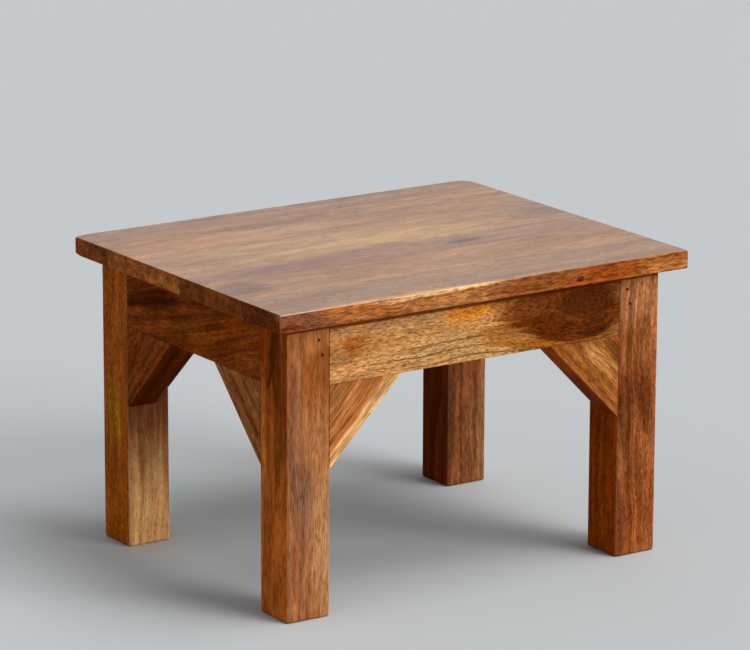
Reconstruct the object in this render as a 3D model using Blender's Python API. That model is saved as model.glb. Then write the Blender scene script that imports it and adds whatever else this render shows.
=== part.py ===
"""A low wooden stool: a seat of glued boards on four square legs, tied by aprons and corner braces.

Metres, +Z up, front at -Y. The origin is on the floor, under the middle of the seat.
"""

import math

import bmesh
import bpy
from mathutils import Vector

# Driving dimensions, in metres.
HEIGHT = 0.250
SEAT_LENGTH = 0.385
SEAT_THICKNESS = 0.0145
SEAT_EASE = 0.0025  # radius of the seat's outer edges
BOARD_WIDTHS = (0.033, 0.0685, 0.063, 0.037, 0.052, 0.0555)  # the seat's boards, back to front
END_OVERHANG = 0.0165  # seat past the legs, at its short ends
SIDE_OVERHANG = 0.0165  # seat past the legs, at its front and back

LEG_SIDE = 0.039
LEG_EASE = 0.0025

RAIL_THICKNESS = 0.026  # aprons and braces come from the same stock
RAIL_SETBACK = 0.0006  # aprons and braces lie this far behind the legs' outer faces
RAIL_EASE = 0.001
APRON_HEIGHT = 0.051
BRACE_SIDE = 0.0665  # along the apron, and down the leg

TENON_THICKNESS = 0.010
TENON_SHOULDER = 0.006  # above and below each tenon
MORTISE_WALL = 0.003  # wood left between the two mortises of a leg

PIN_DIAMETER = 0.0022  # headless nails through the tenons
PIN_SUNK = 0.0006
PIN_BITE = 0.005  # past the tenon
PIN_DROP = 0.008  # upper pin below the tenon's top edge
PIN_PITCH = 0.012  # lower pin below the upper one
PIN_STAGGER = 0.003

BRAD_DIAMETER = 0.0016  # headless brads through the braces
BRAD_SUNK = 0.0015
BRAD_BITE = 0.012  # into the leg or the apron
BRAD_FROM_TIP = 0.0245  # from the brace's tip
BRAD_STAGGER = 0.006

NAIL_TIP = 0.003  # length of a nail's point
NAIL_SIDES = 10

SCREW_LENGTH = 0.035
SCREW_DIAMETER = 0.004
SCREW_HEAD = 0.008
SCREW_RIM = 0.0008  # straight edge of the countersunk head
SCREW_TIP = 0.006
SCREW_BITE = 0.009  # into the seat
SCREW_INSET = 0.009  # from the apron's outer face
SCREW_FROM_BRACE = 0.0165
SCREW_SIDES = 16

GAP = 0.0003  # clearance wherever two pieces meet
RUN_OUT = 0.004  # how far a cutter runs out of the wood

EASE_STEPS = 3
SMOOTH_ANGLE = math.radians(40)

# Sizes that follow from them.
SEAT_WIDTH = sum(BOARD_WIDTHS)
FRAME_LENGTH = SEAT_LENGTH - 2 * END_OVERHANG
FRAME_WIDTH = SEAT_WIDTH - 2 * SIDE_OVERHANG
SEAT_UNDERSIDE = HEIGHT - SEAT_THICKNESS
FRAME_TOP = SEAT_UNDERSIDE - GAP
APRON_BOTTOM = FRAME_TOP - APRON_HEIGHT
TENON_TOP = FRAME_TOP - TENON_SHOULDER
TENON_BOTTOM = APRON_BOTTOM + TENON_SHOULDER
CHEEK = RAIL_SETBACK + (RAIL_THICKNESS - TENON_THICKNESS) / 2  # leg's outer face to the tenon
TENON_LENGTH = LEG_SIDE - CHEEK - TENON_THICKNESS - MORTISE_WALL

# Colours, as sRGB hex.
BOARD_TONES = ("8a5a3c", "9a6a48", "93603e", "7f5035", "a06f4c", "8c5b3b")
LEG_TONE = "9c5f37"
APRON_TONE = "b07a42"
BRACE_TONE = "b5793f"
NAIL_TONE = "4a4038"
SCREW_TONE = "8d8a84"
WOOD_ROUGHNESS = 0.4
STEEL_ROUGHNESS = 0.35


def clear_scene():
    for obj in list(bpy.data.objects):
        bpy.data.objects.remove(obj, do_unlink=True)


def linear(hex_colour):
    """An sRGB hex colour as linear RGBA."""
    parts = [int(hex_colour[i : i + 2], 16) / 255 for i in (0, 2, 4)]
    return [c / 12.92 if c <= 0.04045 else ((c + 0.055) / 1.055) ** 2.4 for c in parts] + [1.0]


def finish(name, hex_colour, roughness, metallic=0.0):
    material = bpy.data.materials.new(name)
    material.use_nodes = True
    shader = material.node_tree.nodes["Principled BSDF"]
    shader.inputs["Base Color"].default_value = linear(hex_colour)
    shader.inputs["Roughness"].default_value = roughness
    shader.inputs["Metallic"].default_value = metallic
    return material


def new_collection(name):
    collection = bpy.data.collections.new(name)
    bpy.context.scene.collection.children.link(collection)
    return collection


def new_empty(name, parent=None, turn=0.0):
    empty = bpy.data.objects.new(name, None)
    empty.parent = parent
    empty.rotation_euler.z = turn
    bpy.context.scene.collection.objects.link(empty)
    return empty


def new_object(name, bm, parent, material=None, collection=None):
    """A mesh object from bm, under parent. Without a material it is a hidden helper."""
    bmesh.ops.recalc_face_normals(bm, faces=bm.faces)
    mesh = bpy.data.meshes.new(name)
    bm.to_mesh(mesh)
    bm.free()
    obj = bpy.data.objects.new(name, mesh)
    obj.parent = parent
    if material:
        mesh.materials.append(material)
        mesh.shade_smooth()
        mesh.set_sharp_from_angle(angle=SMOOTH_ANGLE)
    else:
        obj.hide_render = True
        obj.display_type = "WIRE"
    (collection or bpy.context.scene.collection).objects.link(obj)
    return obj


def block(low, high):
    """A box between two corners."""
    bm = bmesh.new()
    bmesh.ops.create_cube(bm, size=1)
    for vert in bm.verts:
        vert.co = [near if part < 0 else far for part, near, far in zip(vert.co, low, high)]
    return bm


def ease(bm, radius, outer):
    """Rounds each edge whose faces are all outer ones; outer takes a face's normal."""
    bm.normal_update()
    edges = [edge for edge in bm.edges if all(outer(face.normal) for face in edge.link_faces)]
    bmesh.ops.bevel(bm, geom=edges, offset=radius, segments=EASE_STEPS, profile=0.5, affect="EDGES")


def turned(profile, sides):
    """A solid of revolution round +Z through (radius, height) points. It starts and ends on the axis."""
    bm = bmesh.new()
    rings = []
    for radius, height in profile[1:-1]:
        angles = [2 * math.pi * side / sides for side in range(sides)]
        rings.append([bm.verts.new((radius * math.cos(a), radius * math.sin(a), height)) for a in angles])
    bm.faces.new(reversed(rings[0]))
    for low, high in zip(rings, rings[1:]):
        for side in range(sides):
            after = (side + 1) % sides
            bm.faces.new((low[side], low[after], high[after], high[side]))
    tip = bm.verts.new((0, 0, profile[-1][1]))
    for side in range(sides):
        bm.faces.new((rings[-1][side], rings[-1][(side + 1) % sides], tip))
    return bm


def modify(obj, kind, collection=None, other=None):
    """Adds a Boolean with another object, or with all objects of a collection."""
    modifier = obj.modifiers.new(kind.lower(), "BOOLEAN")
    modifier.operation = kind
    modifier.operand_type = "COLLECTION" if collection else "OBJECT"
    if collection:
        modifier.collection = collection
    else:
        modifier.object = other


class Stool:
    """Holds what every sub-part shares: the root, the finishes and the groups of cutters."""

    def __init__(self):
        self.root = new_empty("stool")
        self.mortises = new_collection("mortises")
        self.holes = new_collection("drill_holes")
        self.helpers = new_collection("helpers")
        self.leg_wood = finish("leg_wood", LEG_TONE, WOOD_ROUGHNESS)
        self.apron_wood = finish("apron_wood", APRON_TONE, WOOD_ROUGHNESS)
        self.brace_wood = finish("brace_wood", BRACE_TONE, WOOD_ROUGHNESS)
        self.nail_steel = finish("nail_steel", NAIL_TONE, STEEL_ROUGHNESS, 1.0)
        self.screw_steel = finish("screw_steel", SCREW_TONE, STEEL_ROUGHNESS, 1.0)

    def drilled(self, obj):
        modify(obj, "DIFFERENCE", collection=self.holes)

    def fastener(self, name, profile, sides, steel, parent, head, direction, sunk):
        """A turned fastener with its head at a point, sunk below the wood, and the hole that it sits in."""
        clear = [(radius + GAP, height) for radius, height in profile[1:]]
        start = -sunk - RUN_OUT
        outline = [(0, start), (clear[0][0], start)] + clear + [(0, profile[-1][1] + GAP)]
        hole = new_object(f"hole_{name}", turned(outline, sides), parent, collection=self.holes)
        body = new_object(name, turned(profile, sides), parent, steel)
        for obj in (hole, body):
            obj.location = head
            obj.rotation_euler = Vector(direction).to_track_quat("Z", "Y").to_euler()

    def nail(self, name, diameter, length, parent, head, direction, sunk):
        radius = diameter / 2
        profile = [(0, 0), (radius, 0), (radius, length - NAIL_TIP), (0, length)]
        self.fastener(name, profile, NAIL_SIDES, self.nail_steel, parent, head, direction, sunk)

    def seat(self):
        half = SEAT_LENGTH / 2
        back = SEAT_WIDTH / 2
        for number, width in enumerate(BOARD_WIDTHS, 1):
            first = number == 1
            last = number == len(BOARD_WIDTHS)
            low = (-half, back - width + (0 if last else GAP / 2), SEAT_UNDERSIDE)
            high = (half, back - (0 if first else GAP / 2), HEIGHT)
            bm = block(low, high)

            def outer(normal):
                return abs(normal.y) < 0.5 or (first and normal.y > 0) or (last and normal.y < 0)

            ease(bm, SEAT_EASE, outer)
            wood = finish(f"seat_board_{number}_wood", BOARD_TONES[number - 1], WOOD_ROUGHNESS)
            self.drilled(new_object(f"seat_board_{number}", bm, self.root, wood))
            back -= width

    def legs(self):
        reach = LEG_SIDE / 2
        for y_sign, depth in ((-1, "front"), (1, "back")):
            for x_sign, side in ((-1, "left"), (1, "right")):
                bm = block((-reach, -reach, 0), (reach, reach, FRAME_TOP))
                ease(bm, LEG_EASE, lambda normal: normal.z < 0.5)
                leg = new_object(f"leg_{depth}_{side}", bm, self.root, self.leg_wood)
                leg.location.x = x_sign * (FRAME_LENGTH / 2 - reach)
                leg.location.y = y_sign * (FRAME_WIDTH / 2 - reach)
                modify(leg, "DIFFERENCE", collection=self.mortises)
                self.drilled(leg)

    def side(self, name, ends, turn, span, reach, screws):
        """One side of the frame. Its own X runs along the apron, Y inwards from the outside at -reach.

        span is the clear way between its two legs, ends names the legs at -X and +X, and screws gives
        the seat screws' name endings and places along the apron.
        """
        parent = new_empty(f"{name}_side", self.root, turn)
        outside = -reach + RAIL_SETBACK
        middle = outside + RAIL_THICKNESS / 2
        self.apron(name, parent, span, outside, middle)
        for sign, end in zip((-1, 1), ends):
            self.brace(f"{name}_{end}", parent, sign, span / 2, outside)
            self.joint(f"{name}_{end}", parent, sign, span / 2, -reach, middle)
            self.brads(f"{name}_{end}", parent, sign, span / 2, middle)
        for ending, along in screws.items():
            self.screw(f"screw_{name}{ending}", parent, (along, outside + SCREW_INSET))

    def apron(self, name, parent, span, outside, middle):
        end = span / 2 - GAP
        bm = block((-end, outside, APRON_BOTTOM), (end, outside + RAIL_THICKNESS, FRAME_TOP))
        ease(bm, RAIL_EASE, lambda normal: abs(normal.x) < 0.5 and normal.z < 0.5)
        apron = new_object(f"apron_{name}", bm, parent, self.apron_wood)
        end += TENON_LENGTH
        cheek = TENON_THICKNESS / 2
        tongue = block((-end, middle - cheek, TENON_BOTTOM), (end, middle + cheek, TENON_TOP))
        tenons = new_object(f"tenons_{name}", tongue, parent, collection=self.helpers)
        modify(apron, "UNION", other=tenons)
        self.drilled(apron)

    def brace(self, name, parent, sign, corner, outside):
        """A right-angled triangle in the corner under the apron, extruded through its thickness."""
        near = corner - GAP
        top = APRON_BOTTOM - GAP
        outline = ((near, top), (near - BRACE_SIDE, top), (near, top - BRACE_SIDE))
        bm = bmesh.new()
        face = bm.faces.new([bm.verts.new((sign * x, outside, z)) for x, z in outline])
        extruded = bmesh.ops.extrude_face_region(bm, geom=[face])["geom"]
        moved = [item for item in extruded if isinstance(item, bmesh.types.BMVert)]
        bmesh.ops.translate(bm, verts=moved, vec=(0, RAIL_THICKNESS, 0))
        bmesh.ops.recalc_face_normals(bm, faces=bm.faces)
        ease(bm, RAIL_EASE, lambda normal: abs(normal.y) > 0.9 or -0.9 < normal.z < -0.5)
        self.drilled(new_object(f"brace_{name}", bm, parent, self.brace_wood))

    def joint(self, name, parent, sign, shoulder, outside, middle):
        """The mortise that takes a tenon, and the two pins through it."""
        cheek = TENON_THICKNESS / 2 + GAP
        mouth, end = sorted((sign * (shoulder - RUN_OUT), sign * (shoulder + TENON_LENGTH)))
        low = (mouth, middle - cheek, TENON_BOTTOM - GAP)
        high = (end, middle + cheek, TENON_TOP + GAP)
        new_object(f"mortise_{name}", block(low, high), parent, collection=self.mortises)
        along = sign * (shoulder + TENON_LENGTH / 2)
        length = CHEEK + TENON_THICKNESS + PIN_BITE - PIN_SUNK
        for place, step in (("upper", 0), ("lower", 1)):
            x = along + PIN_STAGGER * (step - 0.5)
            z = TENON_TOP - PIN_DROP - PIN_PITCH * step
            head = (x, outside + PIN_SUNK, z)
            self.nail(f"pin_{name}_{place}", PIN_DIAMETER, length, parent, head, (0, 1, 0), PIN_SUNK)

    def brads(self, name, parent, sign, corner, middle):
        """One brad through the brace into the leg, and one into the apron."""
        wood = BRAD_FROM_TIP - BRAD_SUNK
        far = BRACE_SIDE - BRAD_FROM_TIP
        length = wood + BRAD_BITE
        head = (sign * (corner - wood), middle - BRAD_STAGGER / 2, APRON_BOTTOM - far)
        self.nail(f"brad_{name}_leg", BRAD_DIAMETER, length, parent, head, (sign, 0, 0), BRAD_SUNK)
        head = (sign * (corner - far), middle + BRAD_STAGGER / 2, APRON_BOTTOM - wood)
        self.nail(f"brad_{name}_apron", BRAD_DIAMETER, length, parent, head, (0, 0, 1), BRAD_SUNK)

    def screw(self, name, parent, place):
        """A countersunk screw that runs up from a deep hole in the apron into the seat."""
        head = SCREW_HEAD / 2
        shank = SCREW_DIAMETER / 2
        neck = SCREW_RIM + head - shank
        profile = [(0, 0), (head, 0), (head, SCREW_RIM), (shank, neck)]
        profile += [(shank, SCREW_LENGTH - SCREW_TIP), (0, SCREW_LENGTH)]
        start = (*place, SEAT_UNDERSIDE + SCREW_BITE - SCREW_LENGTH)
        sunk = start[2] - APRON_BOTTOM
        self.fastener(name, profile, SCREW_SIDES, self.screw_steel, parent, start, (0, 0, 1), sunk)


def main():
    clear_scene()
    stool = Stool()
    long_span = FRAME_LENGTH - 2 * LEG_SIDE
    short_span = FRAME_WIDTH - 2 * LEG_SIDE
    spread = long_span / 2 - BRACE_SIDE - SCREW_FROM_BRACE
    quarter = math.pi / 2
    pair = {"_left": -spread, "_right": spread}
    turned_pair = {"_right": -spread, "_left": spread}
    stool.side("front", ("left", "right"), 0, long_span, FRAME_WIDTH / 2, pair)
    stool.side("right", ("front", "back"), quarter, short_span, FRAME_LENGTH / 2, {"": 0})
    stool.side("back", ("right", "left"), 2 * quarter, long_span, FRAME_WIDTH / 2, turned_pair)
    stool.side("left", ("back", "front"), 3 * quarter, short_span, FRAME_LENGTH / 2, {"": 0})
    stool.legs()
    stool.seat()


if __name__ == "__main__":
    main()
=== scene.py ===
"""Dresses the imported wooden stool: eased boards, legs, aprons and braces in figured mango wood, with
sunk nails and screws, on a pale floor under soft studio light.

Metres, +Z up, front at -Y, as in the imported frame.
"""

import math
from functools import partial

import bmesh
import bpy
from mathutils import Euler, Matrix, Vector, noise


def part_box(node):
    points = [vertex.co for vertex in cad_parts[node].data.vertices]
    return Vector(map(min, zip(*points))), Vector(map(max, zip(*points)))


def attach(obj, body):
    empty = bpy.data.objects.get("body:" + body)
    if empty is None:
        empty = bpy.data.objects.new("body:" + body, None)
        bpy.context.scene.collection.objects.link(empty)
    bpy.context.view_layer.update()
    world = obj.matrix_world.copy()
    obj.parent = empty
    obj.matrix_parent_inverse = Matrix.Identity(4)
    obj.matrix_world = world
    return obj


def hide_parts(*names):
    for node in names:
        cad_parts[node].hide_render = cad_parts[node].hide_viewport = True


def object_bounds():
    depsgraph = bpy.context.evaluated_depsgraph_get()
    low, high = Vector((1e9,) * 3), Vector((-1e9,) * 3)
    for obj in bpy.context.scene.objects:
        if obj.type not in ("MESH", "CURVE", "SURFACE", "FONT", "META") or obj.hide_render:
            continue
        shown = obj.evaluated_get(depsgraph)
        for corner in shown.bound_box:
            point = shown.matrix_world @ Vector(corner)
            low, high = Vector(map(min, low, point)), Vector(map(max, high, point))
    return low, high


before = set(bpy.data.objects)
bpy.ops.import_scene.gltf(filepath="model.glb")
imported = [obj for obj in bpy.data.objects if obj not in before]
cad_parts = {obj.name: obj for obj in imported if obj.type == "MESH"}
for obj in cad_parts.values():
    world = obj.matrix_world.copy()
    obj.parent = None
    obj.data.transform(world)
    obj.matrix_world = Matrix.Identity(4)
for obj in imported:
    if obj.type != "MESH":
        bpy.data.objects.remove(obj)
cad_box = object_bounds()

MM = 0.001
QUARTER = math.tau / 4  # of a turn
EIGHTH = math.tau / 8

# Names of the CAD nodes, and where the frame puts them.
BOARDS = [f"seat_board_{number}" for number in range(1, 7)]
LEGS = [f"leg_{depth}_{side}" for depth in ("front", "back") for side in ("left", "right")]
ENDS = {
    "front": ("left", "right"),
    "right": ("front", "back"),
    "back": ("left", "right"),
    "left": ("front", "back"),
}
PINS, BRADS, SCREWS = [
    sorted(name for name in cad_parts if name.startswith(kind)) for kind in ("pin_", "brad_", "screw_")
]
SEAT_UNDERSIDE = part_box(BOARDS[0])[0].z
APRON_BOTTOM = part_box("apron_front")[0].z
LEG_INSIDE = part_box("leg_back_right")[0]  # its low corner, where its inner faces meet

# Rounding left by the plane and the sanding block.
SEAT_EASE = 1.1 * MM
SEAT_UNDER_EASE = 0.7 * MM
SEAT_FRONT_CORNER = 2.0 * MM  # the seat's upright corners, seen from above
SEAT_BACK_CORNER = 3.0 * MM
KNOCK = 1.6 * MM  # how far the back corners are knocked in
KNOCK_REACH = 8 * MM
LEG_EASE = 2.3 * MM
RAIL_EASE = 1.0 * MM
EASE_STEPS = 4
SANDING = 0.4 * MM  # most that sanding takes off an edge
RAIL_SANDING = SANDING / 3
SANDING_LENGTH = 26 * MM  # from one sanded hollow to the next
CUT_LENGTH = 11 * MM  # pieces are cut into such lengths, so that their edges can wander
CUT_TOLERANCE = 1e-7
SMOOTH_ANGLE = math.radians(50)
FLAT_SIDES = [Vector(way) for way in ((1, 0, 0), (-1, 0, 0), (0, 1, 0), (0, -1, 0), (0, 0, 1), (0, 0, -1))]
ASIDE = 0.5  # a face whose normal has less than this along a direction looks another way
TOWARDS = 0.9  # one that has more looks that way
DOWN = -0.2  # an edge whose normal has a lower Z is out of hands' reach

# Kinds of node that are used most. A RANGE takes a value, the two ends of the range that it comes from,
# and the two that they become.
MATH = "ShaderNodeMath"
VECTORS = "ShaderNodeVectorMath"
RANGE = "ShaderNodeMapRange"
MIX = "ShaderNodeMix"
NOISE = "ShaderNodeTexNoise"
COMBINE = "ShaderNodeCombineXYZ"
SEPARATE = "ShaderNodeSeparateXYZ"
GROUP = "ShaderNodeGroup"
# What a node of some kinds has to be told before its values.
TOLD_FIRST = {MATH: "operation", VECTORS: "operation", MIX: "data_type"}


def linear(hex_colour):
    """An sRGB hex colour as linear RGBA."""
    parts = [int(hex_colour[i : i + 2], 16) / 255 for i in (0, 2, 4)]
    return [c / 12.92 if c <= 0.04045 else ((c + 0.055) / 1.055) ** 2.4 for c in parts] + [1.0]


def wire(node, sockets):
    """Sets a node's inputs, by name or number, each to a value, to another node's output, or to another node,
    which stands for its first output in use."""
    for key, value in sockets.items():
        if isinstance(key, int):
            socket = node.inputs[key]
        else:
            socket = next(one for one in node.inputs if one.enabled and one.name == key)
        if isinstance(value, bpy.types.Node):
            value = next(one for one in value.outputs if one.enabled)
        if isinstance(value, bpy.types.NodeSocket):
            node.id_data.links.new(value, socket)
        else:
            socket.default_value = value


def add_node(tree, kind, *values, **settings):
    """Adds a node. Its inputs get the values in order, or by name where a value is a dict. Settings are its
    properties, and the kinds in TOLD_FIRST have one of these before the values."""
    node = tree.nodes.new(kind)
    if kind in TOLD_FIRST:
        settings[TOLD_FIRST[kind]], *values = values
    for key, value in settings.items():
        setattr(node, key, value)
    for number, value in enumerate(values):
        wire(node, value if isinstance(value, dict) else {number: value})
    return node


def new_group(name, inputs, outputs, kind="ShaderNodeTree"):
    """Makes a node group, with names of its sockets by kind. Gives it, what adds nodes to it, its inputs'
    sockets and its output node."""
    tree = bpy.data.node_groups.new(name, kind)
    for way, sockets in (("INPUT", inputs), ("OUTPUT", outputs)):
        for socket_kind, names in sockets.items():
            for socket in names:
                tree.interface.new_socket(socket, in_out=way, socket_type=f"NodeSocket{socket_kind}")
    add = partial(add_node, tree)
    return tree, add, add("NodeGroupInput").outputs, add("NodeGroupOutput")


# The wood's figure, as node groups that every wooden piece shares.

FIGURE_SIZES = ("Band Width", "Wander", "Ripple", "Ripple Length", "Fleck Length", "Fleck Width")
MOST_NOISE = (0.35, 0.65)  # noise lies between these nearly everywhere
ALL_NOISE = (0.3, 0.7)
MID_GREY = (0.5, 0.5, 0.5)  # coloured noise, on average
WANDERS_PER_METRE = (8, 20, 20)  # along the grain first
RIPPLES_ACROSS = 70.0
ACROSS_GRAIN = (0, 1, 1)
# Lengths and widths, in millimetres, of marks that are noise stretched along the grain. Real pores are 0.3 mm
# wide, too fine to show, so they and the flecks are drawn coarser.
MARKS = {"drift": (110, 21), "tone": (200, 24), "streak": (140, 9), "mottle": (30, 8), "pore": (9, 1.1)}
# Where on the noise marks start, and where they are full.
MID_TONE = (0.38, 0.62)
LINE = (0.035, 0.0)  # away from the growth noise's middle
LINE_SHOWS = (0.42, 0.62)
STREAK = (0.52, 0.72)
MOTTLE = (0.33, 0.67)
PORE = (0.58, 0.70)
PORE_SHADE = 0.6
REDDER = (1.08, 0.94, 0.84, 1.0)
GOLDEN = (0.95, 1.05, 1.10, 1.0)
GREEN_POWER = 0.45  # stain takes less from green than from blue
# Patches and knots, by the distance from their middle as a share of their reach: full inside, gone outside.
PATCH_EDGE = (0.5, 1.1)
PATCH_FEATHER = 0.45
KNOT_EDGE = (0.7, 1.15)
KNOT_STRENGTH = 0.85
KNOT_UNEVEN = 0.22
RING_EDGE = (0.05, 0.45)


def figured_wood():
    """Wood that grew round a pith along X: growth bands and lines, mottles, flecks of fibre, and pores.

    Spot is measured from the middle of the piece, and Pith is where that middle lies from the pith.
    """
    inputs = {
        "Vector": ("Spot", "Pith"),
        "Color": ("Pale", "Mid", "Dark"),
        "Float": (*FIGURE_SIZES, "Flecks", "Mottle", "Lines", "Drift"),
    }
    outputs = {"Color": ("Color",), "Float": ("Relief", "Depth", "Feather"), "Vector": ("Shade", "Bent")}
    tree, add, given, result = new_group("figured_wood", inputs, outputs)
    straight = add(VECTORS, "ADD", given["Spot"], given["Pith"])

    # The fibres wander slowly, and ripple quickly in places.
    ripples = add(MATH, "DIVIDE", 1.0, given["Ripple Length"])
    ripples = add(COMBINE, ripples, RIPPLES_ACROSS, RIPPLES_ACROSS)
    bends = []
    for scale, detail, amount in ((WANDERS_PER_METRE, 2.0, "Wander"), (ripples, 1.0, "Ripple")):
        stretched = add(VECTORS, "MULTIPLY", straight, scale)
        waves = add(NOISE, {"Vector": stretched, "Scale": 1.0, "Detail": detail}).outputs["Color"]
        centred = add(VECTORS, "SUBTRACT", waves, MID_GREY)
        bends.append(add(VECTORS, "SCALE", centred, {"Scale": given[amount]}))
    bend = add(VECTORS, "ADD", *bends)
    bent = add(VECTORS, "ADD", straight, bend)
    bent_spot = add(VECTORS, "ADD", given["Spot"], bend)

    # Growth bands follow the distance from the pith.
    across = add(VECTORS, "MULTIPLY", bent, ACROSS_GRAIN)
    radius = add(VECTORS, "LENGTH", across)
    bands = add(MATH, "DIVIDE", radius, given["Band Width"])
    sockets = {"W": bands, "Scale": 1.0, "Detail": 3.0, "Roughness": 0.6}
    growth = add(NOISE, sockets, noise_dimensions="1D")

    scales = {}
    for name, (length, width) in MARKS.items():
        scales[name] = (1 / (length * MM), 1 / (width * MM), 1 / (width * MM))
    along = add(MATH, "DIVIDE", 1.0, given["Fleck Length"])
    aside = add(MATH, "DIVIDE", 1.0, given["Fleck Width"])
    scales["fleck"] = add(COMBINE, along, aside, aside)
    figure = {}
    for name, scale in scales.items():
        stretched = add(VECTORS, "MULTIPLY", bent, scale)
        sockets = {"Vector": stretched, "Scale": 1.0, "Detail": 2.0, "Roughness": 0.55}
        figure[name] = add(NOISE, sockets)

    shade = add(MIX, "FLOAT", {"Factor": 0.5, "A": growth, "B": figure["tone"]})
    shade = add(RANGE, shade, *MID_TONE, interpolation_type="SMOOTHSTEP")
    wood = add(MIX, "RGBA", {"Factor": shade, "A": given["Pale"], "B": given["Mid"]})
    # A thin line runs where the growth noise crosses its middle, and fades in and out along the grain.
    from_middle = add(MATH, "SUBTRACT", growth, 0.5)
    from_middle = add(MATH, "ABSOLUTE", from_middle)
    line = add(RANGE, from_middle, *LINE)
    shows = add(RANGE, figure["streak"], *LINE_SHOWS)
    line = add(MATH, "MULTIPLY", line, shows)
    streak = add(RANGE, figure["streak"], *STREAK)
    line = add(MATH, "MAXIMUM", line, streak)
    line = add(MATH, "MULTIPLY", line, given["Lines"])
    lined = add(MIX, "RGBA", {"Factor": line, "A": wood, "B": given["Dark"]})
    # Broad drifts of redder and of more golden wood, and lighter and darker mottles.
    drift = add(RANGE, figure["drift"], *MOST_NOISE, -0.5, 0.5)
    drift = add(MATH, "MULTIPLY_ADD", drift, given["Drift"], 0.5)
    drift = add(MIX, "RGBA", {"Factor": drift, "A": REDDER, "B": GOLDEN})
    drifted = add(VECTORS, "MULTIPLY", lined, drift)
    shares = []
    for mark, ends, amount in (("mottle", MOTTLE, "Mottle"), ("fleck", MOST_NOISE, "Flecks")):
        least = add(MATH, "SUBTRACT", 1.0, given[amount])
        most = add(MATH, "ADD", 1.0, given[amount])
        shares.append(add(RANGE, figure[mark], *ends, least, most))
    mottle, fleck = shares
    mottled = add(VECTORS, "SCALE", drifted, {"Scale": mottle})

    # How light this spot is beside the wood's usual colour, for patches of other tones.
    usual = add(MIX, "RGBA", {"Factor": 0.5, "A": given["Pale"], "B": given["Mid"]})
    usual = add("ShaderNodeRGBToBW", usual)
    light = add("ShaderNodeRGBToBW", mottled)
    relief = add(MATH, "DIVIDE", light, usual)

    pore = add(RANGE, figure["pore"], *PORE, 1.0, PORE_SHADE)
    depth = add(MATH, "MULTIPLY", fleck, pore)
    # Stain gathers in what is dark, so that it is redder too.
    darker = add(MATH, "MINIMUM", depth, 1.0)
    blue = add(MATH, "MULTIPLY", depth, darker)
    darker = add(MATH, "POWER", darker, GREEN_POWER)
    green = add(MATH, "MULTIPLY", depth, darker)
    stained = add(COMBINE, depth, green, blue)
    wire(result, {"Color": mottled, "Relief": relief, "Depth": depth})
    wire(result, {"Shade": stained, "Feather": figure["streak"], "Bent": bent_spot})
    return tree


def toned_patch():
    """A patch of another tone, which feathers out along the grain and keeps the figure's lights and darks."""
    inputs = {
        "Color": ("Color", "Tone"),
        "Float": ("Relief", "Feather", "Amount"),
        "Vector": ("Bent", "Place", "Reach"),
    }
    tree, add, given, result = new_group("toned_patch", inputs, {"Color": ("Color",)})
    away = add(VECTORS, "SUBTRACT", given["Bent"], given["Place"])
    away = add(VECTORS, "DIVIDE", away, given["Reach"])
    distance = add(VECTORS, "LENGTH", away)
    feather = add(RANGE, given["Feather"], *ALL_NOISE, -PATCH_FEATHER, PATCH_FEATHER)
    edge = add(MATH, "ADD", distance, feather)
    share = add(RANGE, edge, *PATCH_EDGE, given["Amount"], 0.0, interpolation_type="SMOOTHSTEP")
    toned = add(VECTORS, "SCALE", given["Tone"], {"Scale": given["Relief"]})
    mixed = add(MIX, "RGBA", {"Factor": share, "A": given["Color"], "B": toned})
    wire(result, {"Color": mixed})
    return tree


def grain_round_knot():
    """Pushes the grain apart, so that it flows round a knot."""
    inputs = {"Vector": ("Spot", "Place", "Reach"), "Float": ("Push",)}
    tree, add, given, result = new_group("grain_round_knot", inputs, {"Vector": ("Spot",)})
    away = add(VECTORS, "SUBTRACT", given["Spot"], given["Place"])
    share = add(VECTORS, "DIVIDE", away, given["Reach"])
    square = add(VECTORS, "DOT_PRODUCT", share, share)
    fading = add(MATH, "MULTIPLY", square, -1.0)
    fading = add(MATH, "EXPONENT", fading)
    push = add(MATH, "MULTIPLY", fading, given["Push"])
    sideways = add(VECTORS, "MULTIPLY", away, ACROSS_GRAIN)
    sideways = add(VECTORS, "SCALE", sideways, {"Scale": push})
    pushed = add(VECTORS, "SUBTRACT", given["Spot"], sideways)
    wire(result, {"Spot": pushed})
    return tree


def knot_rings():
    """A branch's knot: uneven rings in a dark heart."""
    inputs = {"Color": ("Color", "Heart", "Ring"), "Vector": ("Spot", "Place", "Reach"), "Float": ("Rings",)}
    outputs = {"Color": ("Color",), "Float": ("Share",)}
    tree, add, given, result = new_group("knot_rings", inputs, outputs)
    away = add(VECTORS, "SUBTRACT", given["Spot"], given["Place"])
    away = add(VECTORS, "DIVIDE", away, given["Reach"])
    rough = add(NOISE, {"Vector": away, "Scale": 1.1, "Detail": 3.0})
    rough = add(RANGE, rough, *ALL_NOISE, -KNOT_UNEVEN, KNOT_UNEVEN)
    distance = add(VECTORS, "LENGTH", away)
    uneven = add(MATH, "ADD", rough, distance)
    turns = add(MATH, "MULTIPLY", uneven, given["Rings"])
    ring = add(MATH, "PINGPONG", turns, 0.5)
    ring = add(RANGE, ring, *RING_EDGE)
    wood = add(MIX, "RGBA", {"Factor": ring, "A": given["Heart"], "B": given["Ring"]})
    share = add(RANGE, uneven, *KNOT_EDGE, KNOT_STRENGTH, 0.0, interpolation_type="SMOOTHSTEP")
    mixed = add(MIX, "RGBA", {"Factor": share, "A": given["Color"], "B": wood})
    wire(result, {"Color": mixed, "Share": share})
    return tree


FIGURED_WOOD = figured_wood()
TONED_PATCH = toned_patch()
GRAIN_ROUND_KNOT = grain_round_knot()
KNOT_RINGS = knot_rings()


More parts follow.
